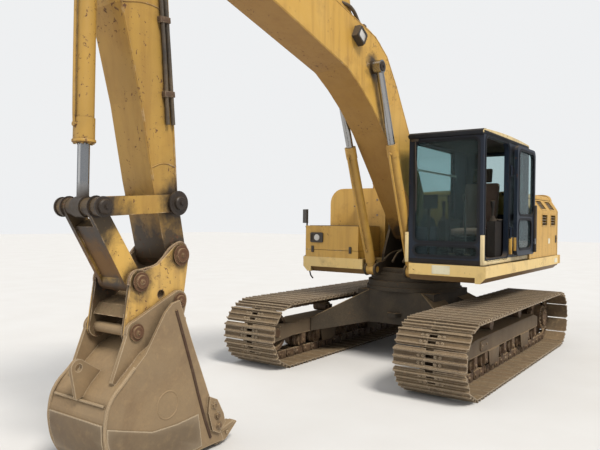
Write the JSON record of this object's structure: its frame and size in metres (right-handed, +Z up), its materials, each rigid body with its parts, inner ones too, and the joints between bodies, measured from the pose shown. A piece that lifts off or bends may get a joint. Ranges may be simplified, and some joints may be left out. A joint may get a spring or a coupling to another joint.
{
  "type": "crawler excavator",
  "caption": "Crawler excavator with a slewing house and cab on two tracks, a mono boom, stick, quick coupler and narrow toothed bucket.",
  "frame": {"origin": "on the ground under the swing axis", "axes": "+X forward along the boom, +Y to the driver's left, +Z up"},
  "size_m": [8.4572, 3.18, 5.3267],
  "materials": {
    "paint": "weathered ochre yellow gloss paint with dust",
    "boom_paint": "weathered ochre yellow paint",
    "coupler_paint": "ochre yellow paint, chipped and rusty at its edges",
    "dark_paint": "satin black paint with dust",
    "cab_paint": "satin black paint",
    "glass": "tinted safety glass",
    "seat_fabric": "worn dark brown cloth",
    "black_plastic": "matte black",
    "cast_parts": "dirty oiled casting",
    "track_steel": "dry earth over worn steel",
    "rod_chrome": "polished rod",
    "bucket_steel": "bare worn steel with earth"
  },
  "bodies": {
    "undercarriage": {"carbody": "dark_paint", "swing_ring": "cast_parts", "track_frame_left": "paint", "track_frame_right": "paint", "track_left": "track_steel", "track_right": "track_steel", "idlers": "cast_parts", "sprockets": "cast_parts", "rollers_left": "cast_parts", "rollers_right": "cast_parts"},
    "house": {"house_frame": "dark_paint", "left_platform": "paint", "right_platform": "paint", "counterweight": "paint", "engine": "cast_parts", "engine_bay": "paint", "fuel_tank": "paint", "hydraulic_tank": "paint", "toolbox": "paint", "valve_block": "dark_paint", "exhaust": "dark_paint", "cab_floor": "dark_paint", "cab_left_wall": "cab_paint", "cab_right_wall": "cab_paint", "cab_rear_wall": "cab_paint", "cab_front_wall": "cab_paint", "cab_roof": "paint", "cab_glass": "glass", "seat_base": "dark_paint", "seat": "seat_fabric", "consoles": "black_plastic", "grab_rails": "dark_paint", "side_mirror": "black_plastic"},
    "hood": {"hood": "paint"},
    "left_door": {"left_side_door": "paint"},
    "right_door": {"right_side_door": "paint"},
    "toolbox_lid": {"toolbox_lid": "paint"},
    "cab_door": {"cab_door": "cab_paint", "cab_door_glass": "glass"},
    "boom": {"boom": "boom_paint", "boom_lamp": "dark_paint"},
    "boom_barrels": {"boom_cylinder_barrels": "boom_paint"},
    "boom_rods": {"boom_cylinder_rods": "rod_chrome"},
    "stick_barrel": {"stick_cylinder_barrel": "boom_paint"},
    "stick_rod": {"stick_cylinder_rod": "rod_chrome"},
    "stick": {"stick": "boom_paint"},
    "bucket_barrel": {"bucket_cylinder_barrel": "boom_paint"},
    "bucket_rod": {"bucket_cylinder_rod": "rod_chrome"},
    "idler": {"idler_links": "boom_paint"},
    "power_link": {"power_link": "boom_paint"},
    "bucket": {"coupler": "coupler_paint", "bucket": "bucket_steel", "bucket_teeth": "bucket_steel"}
  },
  "joints": [
    {"name": "swing", "type": "hinge", "parent": "undercarriage", "child": "house", "pos_m": [0, 0, 1.04], "axis": [0, 0, 1], "continuous": true},
    {"name": "boom_lift", "type": "hinge", "parent": "house", "child": "boom", "pos_m": [0.09, 0, 1.75], "axis": [0, -1, 0], "range_deg": [-59, 30]},
    {"name": "stick_in", "type": "hinge", "parent": "boom", "child": "stick", "pos_m": [4.97991, 0, 4.4997], "axis": [0, 1, 0], "range_deg": [-85, 15]},
    {"name": "bucket_curl", "type": "hinge", "parent": "stick", "child": "bucket", "pos_m": [4.69992, 0, 1.56503], "axis": [0, 1, 0], "range_deg": [-45, 120]},
    {"name": "boom_barrel_turn", "type": "hinge", "parent": "house", "child": "boom_barrels", "pos_m": [0.7, 0, 1.2], "axis": [0, -1, 0], "range_deg": [-57.53, 29.4]},
    {"name": "boom_rod_slide", "type": "slide", "parent": "boom_barrels", "child": "boom_rods", "axis": [0.3668, 0, 0.9303], "range_m": [-0.725, 0.371]},
    {"name": "stick_barrel_turn", "type": "hinge", "parent": "boom", "child": "stick_barrel", "pos_m": [2.15164, 0, 4.39024], "axis": [0, -1, 0], "range_deg": [-1.15, 0.45]},
    {"name": "stick_rod_slide", "type": "slide", "parent": "stick_barrel", "child": "stick_rod", "axis": [0.965, 0, 0.2623], "range_m": [-1.028, 0.185]},
    {"name": "bucket_barrel_turn", "type": "hinge", "parent": "stick", "child": "bucket_barrel", "pos_m": [5.39935, 0, 3.94737], "axis": [0, 1, 0], "range_deg": [-2.77, 6.9]},
    {"name": "bucket_rod_slide", "type": "slide", "parent": "bucket_barrel", "child": "bucket_rod", "axis": [0.0101, 0, -0.9999], "range_m": [-0.271, 0.716]},
    {"name": "idler_turn", "type": "hinge", "parent": "stick", "child": "idler", "pos_m": [4.7381, 0, 1.96521], "axis": [0, 1, 0], "range_deg": [-25.5, 67.5]},
    {"name": "power_link_turn", "type": "hinge", "parent": "bucket", "child": "power_link", "pos_m": [5.08998, 0, 1.38919], "axis": [0, 1, 0], "range_deg": [-68.7, 25.95]},
    {"name": "cab_door_turn", "type": "hinge", "parent": "house", "child": "cab_door", "pos_m": [-0.01, 1.34, 2.1], "axis": [0, 0, 1], "range_deg": [-180, 0]},
    {"name": "hood_turn", "type": "hinge", "parent": "house", "child": "hood", "pos_m": [-1.04, 0.2, 2.298], "axis": [0, 1, 0], "range_deg": [0, 65]},
    {"name": "left_door_turn", "type": "hinge", "parent": "house", "child": "left_door", "pos_m": [-1.057, 1.3535, 1.72], "axis": [0, 0, -1], "range_deg": [0, 110]},
    {"name": "right_door_turn", "type": "hinge", "parent": "house", "child": "right_door", "pos_m": [-1.057, -1.3535, 1.72], "axis": [0, 0, 1], "range_deg": [0, 110]},
    {"name": "toolbox_lid_turn", "type": "hinge", "parent": "house", "child": "toolbox_lid", "pos_m": [0.204, -0.89, 1.742], "axis": [0, -1, 0], "range_deg": [0, 75]}
  ],
  "couplings": [
    {"joint": "boom_barrel_turn", "follows": "boom_lift", "ratio": 0.97},
    {"joint": "boom_rod_slide", "follows": "boom_lift", "m_per_rad": 0.7},
    {"joint": "stick_barrel_turn", "follows": "stick_in", "ratio": 0.01},
    {"joint": "stick_rod_slide", "follows": "stick_in", "m_per_rad": 0.69},
    {"joint": "bucket_barrel_turn", "follows": "bucket_curl", "ratio": 0.055},
    {"joint": "bucket_rod_slide", "follows": "bucket_curl", "m_per_rad": 0.34},
    {"joint": "idler_turn", "follows": "bucket_curl", "ratio": 0.56},
    {"joint": "power_link_turn", "follows": "bucket_curl", "ratio": -0.57}
  ]
}
